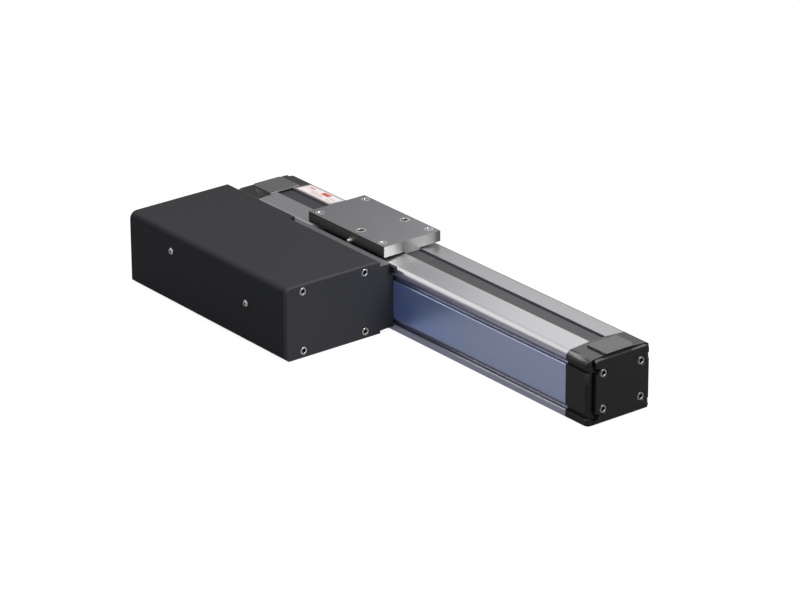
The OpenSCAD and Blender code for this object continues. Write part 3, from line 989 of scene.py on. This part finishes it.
# heights of the film's two faces above the strip
film_bottom, film_top = 0.0001, 0.00026
loops = []
for j in range(columns + 1):
    offset = label_width * j / columns
    near = min(offset, label_width - offset)
    trim = 0.0
    if near < corner_r:
        trim = corner_r - math.sqrt(corner_r**2 - (corner_r - near) ** 2)
    y = label_corner.y + offset
    base = strip_height(y)
    loops.append(
        [
            sheet.verts.new((label_corner.x + x, y, base + z))
            for x in (trim, label_length - trim)
            for z in (film_bottom, film_top)
        ]
    )
for a, b in zip(loops, loops[1:]):
    for i, j in ((0, 1), (1, 3), (3, 2), (2, 0)):
        sheet.faces.new((a[i], a[j], b[j], b[i]))
for end in (loops[0], loops[-1]):
    sheet.faces.new((end[0], end[1], end[3], end[2]))
sticker = piece_from(sheet, "sticker_film", film, "frame")
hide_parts("blank_label")


# ---------------------------------------------------------------------------
# Carriage plate: a milled aluminium plate with a neck over the strip. Its
# top is hard anodised grey with fine cutter marks; its two end faces are
# bright and brushed up and down, with painted reflections in streaks on them.
# ---------------------------------------------------------------------------
plate_low, plate_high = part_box("carriage_plate")
plate_mid_x = (plate_low.x + plate_high.x) / 2
# how far the inserts and the bushings are from the plate's middle
insert_x, insert_y = 0.050, 0.028
bushing_x, bushing_skew, bushing_y = 0.014, 0.0025, 0.0248

milled, tree = new_material("milled_grey_plate")
# cutter marks 0.7 mm apart along the plate and brush marks 0.5 mm apart on its
# ends, both coarser than real so that they show
cutter = grain(tree, (40.0, 0.6667, 0.6667))
brush = grain(tree, (33.33, 0.5, 33.33), 4.0, 0.7)
plate_facing = axes_of(tree, "ShaderNodeNewGeometry", "Normal")
endways = add_node(
    tree, "ShaderNodeMath", links={0: plate_facing["X"]}, operation="ABSOLUTE"
)
end_face = add_node(
    tree,
    "ShaderNodeMapRange",
    values={"From Min": 0.7, "From Max": 0.9},
    links={"Value": endways.outputs[0]},
)
plate_spot = axes_of(tree, "ShaderNodeTexCoord", "Object")
across = add_node(
    tree,
    "ShaderNodeMapRange",
    values={"From Min": plate_low.y, "From Max": plate_high.y},
    links={"Value": plate_spot["Y"]},
)
# painted reflection: the brushed ends are painted in streaks from light at the box's side
# to dark at the other
painted_reflection_streaks = add_node(tree, "ShaderNodeValToRGB", links={"Fac": across.outputs[0]})
reflection_shades = painted_reflection_streaks.color_ramp
reflection_shades.elements[0].color = linear("#dbd9d6")
reflection_shades.elements[1].color = linear("#646464")
for at, shade in (
    (0.16, "#cccac8"),
    (0.34, "#8a8886"),
    (0.50, "#b6b4b3"),
    (0.66, "#bebcbb"),
    (0.86, "#aaa8a8"),
    (0.94, "#686868"),
):
    reflection_shades.elements.new(at).color = linear(shade)
brush_and_painted_reflection = add_node(
    tree,
    "ShaderNodeMix",
    values={0: 0.45},
    links={colour_a: painted_reflection_streaks.outputs["Color"], colour_b: brush.outputs["Color"]},
    data_type="RGBA",
    blend_type="OVERLAY",
)
# painted shade: the long sides are painted darker than the milled top
long_side = add_node(
    tree, "ShaderNodeMath", links={0: plate_facing["Y"]}, operation="ABSOLUTE"
)
tone_with_side_shade = add_node(
    tree,
    "ShaderNodeMix",
    values={colour_a: linear("#a2a1a6"), colour_b: linear("#7d7b76")},
    links={0: band(tree, long_side.outputs[0], 0.8, 1.1).outputs[0]},
    data_type="RGBA",
)


def hole_distance(tree, x, y, mirrored):
    """Distance in the plate's plane from one hole, or from four mirrored ones."""
    legs = []
    for axis, middle, at in (("X", plate_mid_x, x), ("Y", 0.0, y)):
        source = add_node(
            tree,
            "ShaderNodeMath",
            values={1: middle if mirrored else middle + at},
            links={0: plate_spot[axis]},
            operation="SUBTRACT",
        )
        if mirrored:
            source = add_node(
                tree, "ShaderNodeMath", links={0: source.outputs[0]}, operation="ABSOLUTE"
            )
            source = add_node(
                tree,
                "ShaderNodeMath",
                values={1: at},
                links={0: source.outputs[0]},
                operation="SUBTRACT",
            )
        legs.append(source)
    flat = add_node(
        tree,
        "ShaderNodeCombineXYZ",
        links={"X": legs[0].outputs[0], "Y": legs[1].outputs[0]},
    )
    return add_node(
        tree,
        "ShaderNodeVectorMath",
        links={0: flat.outputs[0]},
        operation="LENGTH",
    ).outputs["Value"]


# bright countersinks about 1 mm wide round the six holes
sinks = None
for x, y, mirrored, inner_r, outer_r in (
    (insert_x, insert_y, True, 0.0033, 0.0043),
    (bushing_x - bushing_skew, -bushing_y, False, 0.0040, 0.0049),
    (bushing_x + bushing_skew, bushing_y, False, 0.0040, 0.0049),
):
    ring = band(tree, hole_distance(tree, x, y, mirrored), inner_r, outer_r)
    if sinks is not None:
        ring = add_node(
            tree,
            "ShaderNodeMath",
            links={0: sinks.outputs[0], 1: ring.outputs[0]},
            operation="MAXIMUM",
        )
    sinks = ring
ringed = add_node(
    tree,
    "ShaderNodeMix",
    values={colour_b: linear("#f2f0ec")},
    links={0: sinks.outputs[0], colour_a: tone_with_side_shade.outputs[mixed]},
    data_type="RGBA",
)
plate_tone = add_node(
    tree,
    "ShaderNodeMix",
    links={
        0: end_face.outputs[0],
        colour_a: ringed.outputs[mixed],
        colour_b: brush_and_painted_reflection.outputs[mixed],
    },
    data_type="RGBA",
)
plate_metal = add_node(
    tree,
    "ShaderNodeMapRange",
    values={"To Min": 0.9, "To Max": 0.35},
    links={"Value": end_face.outputs[0]},
)
cutter_rough = add_node(
    tree,
    "ShaderNodeMapRange",
    values={"To Min": 0.26, "To Max": 0.40},
    links={"Value": cutter.outputs["Fac"]},
)
cutter_bump = add_node(
    tree,
    "ShaderNodeBump",
    values={"Strength": 0.1, "Distance": 0.00004},
    links={"Height": cutter.outputs["Fac"]},
)
finish_material(
    tree,
    add_node(
        tree,
        "ShaderNodeBsdfPrincipled",
        links={
            "Base Color": plate_tone.outputs[mixed],
            "Metallic": plate_metal.outputs[0],
            "Roughness": cutter_rough.outputs[0],
            "Normal": cutter_bump.outputs[0],
        },
    ),
)
dress(milled, "carriage_plate")
soften_edges(parts["carriage_plate"], 0.0004)


# ---------------------------------------------------------------------------
# Inserts, bushings and nipple: four M5 threaded steel inserts at the corners
# and two plain 6 mm bushings, turned and pressed in, with bright chamfered
# rims, and a small grease nipple screwed into the side that faces the box.
# ---------------------------------------------------------------------------
def sleeve(rims, bores, x, y, outer, inner, depth, pitch):
    """A sleeve with its rim at the plate's top; pitch 0 is a plain bore."""
    count, steps = 24, 36
    mouth, blind, thread_depth = 0.25, 1.0, 0.22
    rim = [
        round_ring(outer, -depth, count),
        round_ring(outer, -mouth, count),
        round_ring(outer - 0.1, -0.05, count),
        round_ring(outer - 0.2, -0.02, count),
        round_ring(inner + 0.12, -0.02, count),
        round_ring(inner, -mouth, count),
    ]
    bore = []
    for k in range(steps + 1):
        z = -mouth - (depth - mouth - blind) * k / steps
        ring = []
        for i in range(count):
            a = 2 * math.pi * i / count
            wave = abs(((z / pitch - i / count) % 1) - 0.5) * 2 if pitch else 1
            r = inner - thread_depth * (1 - wave)
            ring.append((r * math.cos(a), r * math.sin(a), z))
        bore.append(ring)
    bore.append(round_ring(0.2, -depth + 0.8, count))
    move = Matrix.Translation((x, y, plate_high.z)) @ to_metres
    add_rings(rims, rim, move, close_end=False)
    add_rings(bores, bore, move, close_start=False)


insert_places = [
    (plate_mid_x + sx * insert_x, sy * insert_y) for sx in (-1, 1) for sy in (-1, 1)
]
bushing_places = [
    (plate_mid_x + bushing_x + s * bushing_skew, s * bushing_y) for s in (-1, 1)
]
sleeve_depth = 7.9
for name, node, places, outer, inner, pitch in (
    ("threaded_inserts", "carriage_inserts", insert_places, 3.3, 2.5, 0.8),
    ("plain_bushings", "carriage_bushings", bushing_places, 4.0, 3.0, 0),
):
    rims, bores = bmesh.new(), bmesh.new()
    for x, y in places:
        sleeve(rims, bores, x, y, outer, inner, sleeve_depth, pitch)
    group = piece_from(rims, name, bright_screw, "carriage")
    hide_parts(node)
    piece_from(bores, name + "_bores", bright_screw, "carriage")

# nickel plating leaves the brass pale, with only a hint of yellow
plated_brass = plain_finish("nickel_plated_brass", "#fffbe2", 0.2, 0.28, 0.40, (0.25,) * 3)
dress(plated_brass, "grease_nipple")


# ---------------------------------------------------------------------------
# Inner parts: ground steel rail, screw and blocks, machined aluminium
# saddle, plate and pulleys, black oxide screws, and rubber seals and belt.
# ---------------------------------------------------------------------------
fine = (0.3333,) * 3
# smooth and nearly a mirror, as the grinding wheel leaves it
ground_steel = plain_finish("ground_bearing_steel", "#bcbcbe", 1.0, 0.16, 0.26, fine)
# satin, from the milling cutter
machined = plain_finish("machined_aluminium", "#c2c2c4", 1.0, 0.26, 0.4, fine)
# dark with a dull metal shine
black_oxide = plain_finish("black_oxide_steel", "#3a3a3b", 0.8, 0.3, 0.42, fine)
# pale, and a little yellower than the aluminium
zinc = plain_finish("zinc_plated_steel", "#b4b4b0", 1.0, 0.26, 0.38, fine)
# black and matt, the belt a shade paler than the seals
nitrile = plain_finish("moulded_nitrile_rubber", "#1c1c1c", 0.0, 0.55, 0.7, fine)
belt_rubber = plain_finish("belt_polyurethane", "#202020", 0.0, 0.5, 0.62, fine)
# black with a slight gloss, the moulded housing duller than the paint
motor_paint = plain_finish("motor_black_paint", "#1e1e20", 0.0, 0.4, 0.5, fine)
encoder_shell = plain_finish("moulded_black_plastic", "#222223", 0.0, 0.45, 0.6, fine)

dress(ground_steel, "guide_rail", "guide_blocks", "motor_shaft")
dress(ground_steel, "bearing_outer_rings", "bearing_inner_rings", "ball_nut")
dress(machined, "motor_plate", "tie_rods", "saddle", "screw_pulley", "motor_pulley")
dress(black_oxide, "rail_screws", "bearing_retainer", "flange_screws")
dress(black_oxide, "motor_plate_screws", "motor_screws", "saddle_screws")
dress(black_oxide, "web_screws", "lock_nut")
dress(zinc, "t_nuts", "clinch_nuts")
dress(nitrile, "bumpers", "block_seals")
dress(belt_rubber, "drive_belt")
dress(motor_paint, "motor_body")
dress(encoder_shell, "encoder_housing")


# ---------------------------------------------------------------------------
# Gap seal beside the flange: a black rubber strip, with a painted highlight:
# a light grey line painted along its top up to the box's front.
# ---------------------------------------------------------------------------
seal_start, seal_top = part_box("flange_seal")[0].x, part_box("flange_seal")[1].z
box_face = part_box("box_front_plate")[1].x

seal_strip, tree = new_material("rubber_seal_painted_highlight")
seal_grain = grain(tree, fine, 2.0)
seal_rough = add_node(
    tree,
    "ShaderNodeMapRange",
    values={"To Min": 0.45, "To Max": 0.6},
    links={"Value": seal_grain.outputs["Fac"]},
)
seal_spot = axes_of(tree, "ShaderNodeTexCoord", "Object")
# painted highlight: a light grey band along the seal's top beside the box
beside_box = band(tree, seal_spot["X"], seal_start - 0.001, box_face - 0.001)
along_top = band(tree, seal_spot["Z"], seal_top - 0.0008, seal_top + 0.0016)
seal_top_painted_highlight = add_node(
    tree,
    "ShaderNodeMath",
    links={0: beside_box.outputs[0], 1: along_top.outputs[0]},
    operation="MULTIPLY",
)
seal_colour = add_node(
    tree,
    "ShaderNodeMix",
    values={colour_a: linear("#1c1c1c"), colour_b: linear("#8c8c8e")},
    links={0: seal_top_painted_highlight.outputs[0]},
    data_type="RGBA",
)
finish_material(
    tree,
    add_node(
        tree,
        "ShaderNodeBsdfPrincipled",
        links={
            "Base Color": seal_colour.outputs[mixed],
            "Roughness": seal_rough.outputs[0],
        },
    ),
)
dress(seal_strip, "flange_seal")
soften_edges(parts["flange_seal"], 0.0006)


# ---------------------------------------------------------------------------
# Ball screw: a bright steel shaft 16 mm across with one ground ball groove,
# round in section and of 10 mm lead, and plain turned journals at both ends.
# ---------------------------------------------------------------------------
screw_low, screw_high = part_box("ball_screw")
screw_axis = (screw_low + screw_high) / 2
# places along the screw and radii, in millimetres; the thread starts at the
# retainer of the fixed bearing and ends 10 mm before the free end, and its
# groove runs out 6 mm inside both
shaft_start, shaft_end = screw_low.x * 1000, screw_high.x * 1000
thread_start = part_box("bearing_retainer")[0].x * 1000
thread_end = shaft_end - 10.0
shaft_r, drive_r, free_r = 8.0, 6.0, 5.0
end_chamfer, thread_chamfer = 0.3, 0.4
lead, groove_half, groove_depth, around = 10.0, 1.9, 0.9, 32
ring_step = lead / 16
run_out = 6.0


def shaft_ring(x, radius, grooved=False):
    """Points round the shaft at x, with the ball groove cut in if grooved."""
    ring = []
    for i in range(around):
        a = 2 * math.pi * i / around
        r = radius
        if grooved:
            off = ((x / lead - i / around) % 1.0 - 0.5) * lead
            if abs(off) < groove_half:
                r -= groove_depth * math.sqrt(1 - (off / groove_half) ** 2)
        ring.append((x, r * math.cos(a), r * math.sin(a)))
    return ring


groove_rings = int((thread_end - thread_start - 2 * run_out) / ring_step) + 1
rings = [
    shaft_ring(shaft_start, drive_r - end_chamfer),
    shaft_ring(shaft_start + end_chamfer, drive_r),
    shaft_ring(thread_start, drive_r),
    shaft_ring(thread_start, shaft_r - thread_chamfer),
    shaft_ring(thread_start + thread_chamfer, shaft_r),
]
for k in range(groove_rings):
    rings.append(shaft_ring(thread_start + run_out + k * ring_step, shaft_r, True))
rings += [
    shaft_ring(thread_end - thread_chamfer, shaft_r),
    shaft_ring(thread_end, shaft_r - thread_chamfer),
    shaft_ring(thread_end, free_r),
    shaft_ring(shaft_end - end_chamfer, free_r),
    shaft_ring(shaft_end, free_r - end_chamfer),
]
shaft = bmesh.new()
add_rings(shaft, rings, Matrix.Translation((0, screw_axis.y, screw_axis.z)) @ to_metres)
thread = piece_from(shaft, "threaded_ball_screw", ground_steel, "screw")
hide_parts("ball_screw")
